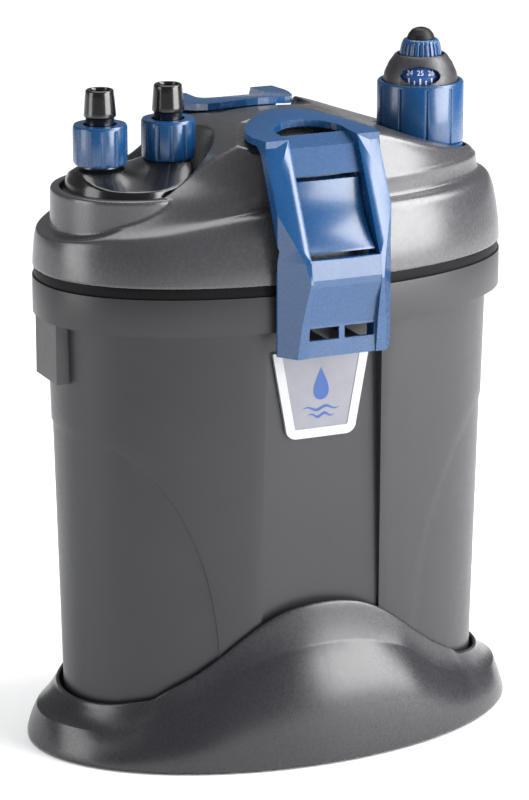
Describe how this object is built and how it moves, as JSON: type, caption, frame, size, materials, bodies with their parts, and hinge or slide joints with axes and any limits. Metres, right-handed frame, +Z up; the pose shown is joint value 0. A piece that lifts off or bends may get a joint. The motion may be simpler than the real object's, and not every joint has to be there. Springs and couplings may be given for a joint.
{
  "type": "canister water filter",
  "caption": "Canister water filter: an oval tub of filter media under a pump head held by swing latches, with hose spigots and a heater with a thermostat dial.",
  "frame": {"origin": "centre of the footprint on the table", "axes": "+X from the hoses to the heater, -Y is the front with the badge, +Z up"},
  "size_m": [0.233, 0.1656, 0.3151],
  "materials": {
    "tub_plastic": "satin",
    "head_plastic": "satin, fine texture",
    "skirt_plastic": "satin",
    "blue_plastic": "satin",
    "black_plastic": "gloss",
    "seal_rubber": "matte",
    "foot_rubber": "matte",
    "badge_white": "gloss",
    "badge_grey": "satin",
    "steel": "brushed",
    "dome_plastic": "textured",
    "gland_rubber": "satin",
    "drum_plastic": "matte",
    "heater_glass": "gloss",
    "ceramic_core": "matte",
    "ceramic_media": "rough",
    "coarse_foam": "open cell",
    "fine_foam": "open cell",
    "basket_plastic": "matte",
    "inner_plastic": "matte",
    "magnet": "matte",
    "lamination": "brushed",
    "coil": "gloss"
  },
  "bodies": {
    "tub": {"tub": "tub_plastic", "base_skirt": "skirt_plastic", "rubber_feet": "foot_rubber", "badge_frame": "badge_white", "badge_panel": "badge_grey", "front_hinge_pin": "steel", "rear_hinge_pin": "steel", "lower_basket": "basket_plastic", "middle_basket": "basket_plastic", "upper_basket": "basket_plastic", "coarse_foam": "coarse_foam", "ceramic_rings": "ceramic_media", "fine_foam": "fine_foam", "intake_pipe": "inner_plastic"},
    "head": {"head_shell": "head_plastic", "front_latch_keeper": "blue_plastic", "rear_latch_keeper": "blue_plastic", "head_seal": "seal_rubber", "motor_cover": "inner_plastic", "cover_screws": "steel", "volute_housing": "inner_plastic", "outlet_duct": "inner_plastic", "inlet_duct": "inner_plastic", "stator_core": "lamination", "stator_coil": "coil", "impeller_shaft": "ceramic_core", "shaft_bushes": "seal_rubber", "collar_ring": "blue_plastic"},
    "rotor": {"impeller": "inner_plastic", "rotor_magnet": "magnet"},
    "connector": {"connector_block": "black_plastic", "connector_o_rings": "seal_rubber", "inlet_spigot": "black_plastic", "outlet_spigot": "black_plastic"},
    "inlet_nut": {"inlet_nut": "blue_plastic"},
    "outlet_nut": {"outlet_nut": "blue_plastic"},
    "heater": {"heater_dome": "dome_plastic", "heater_tube": "heater_glass", "heater_element": "ceramic_core", "cable_gland": "gland_rubber"},
    "dial": {"temperature_dial": "blue_plastic", "scale_drum": "drum_plastic"},
    "collar": {"heater_collar": "blue_plastic"},
    "front_latch": {"front_latch": "blue_plastic"},
    "rear_latch": {"rear_latch": "blue_plastic"}
  },
  "joints": [
    {"name": "head_lift", "type": "slide", "parent": "tub", "child": "head", "axis": [0, 0, 1], "range_m": [0, 0.055]},
    {"name": "front_latch_hinge", "type": "hinge", "parent": "tub", "child": "front_latch", "pos_m": [0, -0.0715, 0.193], "axis": [1, 0, 0], "range_deg": [0, 105]},
    {"name": "rear_latch_hinge", "type": "hinge", "parent": "tub", "child": "rear_latch", "pos_m": [0, 0.0715, 0.193], "axis": [-1, 0, 0], "range_deg": [0, 105]},
    {"name": "impeller_spin", "type": "hinge", "parent": "head", "child": "rotor", "pos_m": [0.004, 0, 0.23], "axis": [0, 0, 1], "continuous": true},
    {"name": "connector_lift", "type": "slide", "parent": "head", "child": "connector", "axis": [0, 0, 1], "range_m": [0, 0.03]},
    {"name": "inlet_nut_turn", "type": "hinge", "parent": "connector", "child": "inlet_nut", "pos_m": [-0.0806, 0, 0.275], "axis": [0, 0, 1], "range_deg": [0, 540]},
    {"name": "outlet_nut_turn", "type": "hinge", "parent": "connector", "child": "outlet_nut", "pos_m": [-0.0485, 0, 0.275], "axis": [0, 0, 1], "range_deg": [0, 540]},
    {"name": "heater_lift", "type": "slide", "parent": "head", "child": "heater", "axis": [0, 0, 1], "range_m": [0, 0.16]},
    {"name": "collar_turn", "type": "hinge", "parent": "heater", "child": "collar", "pos_m": [0.075, 0, 0.277], "axis": [0, 0, 1], "range_deg": [0, 30]},
    {"name": "dial_turn", "type": "hinge", "parent": "heater", "child": "dial", "pos_m": [0.075, 0, 0.3], "axis": [0, 0, 1], "range_deg": [-135, 135]}
  ],
  "couplings": [
    {"joint": "front_latch_hinge", "follows": "head_lift", "rad_per_m": 33.3},
    {"joint": "rear_latch_hinge", "follows": "head_lift", "rad_per_m": 33.3}
  ]
}
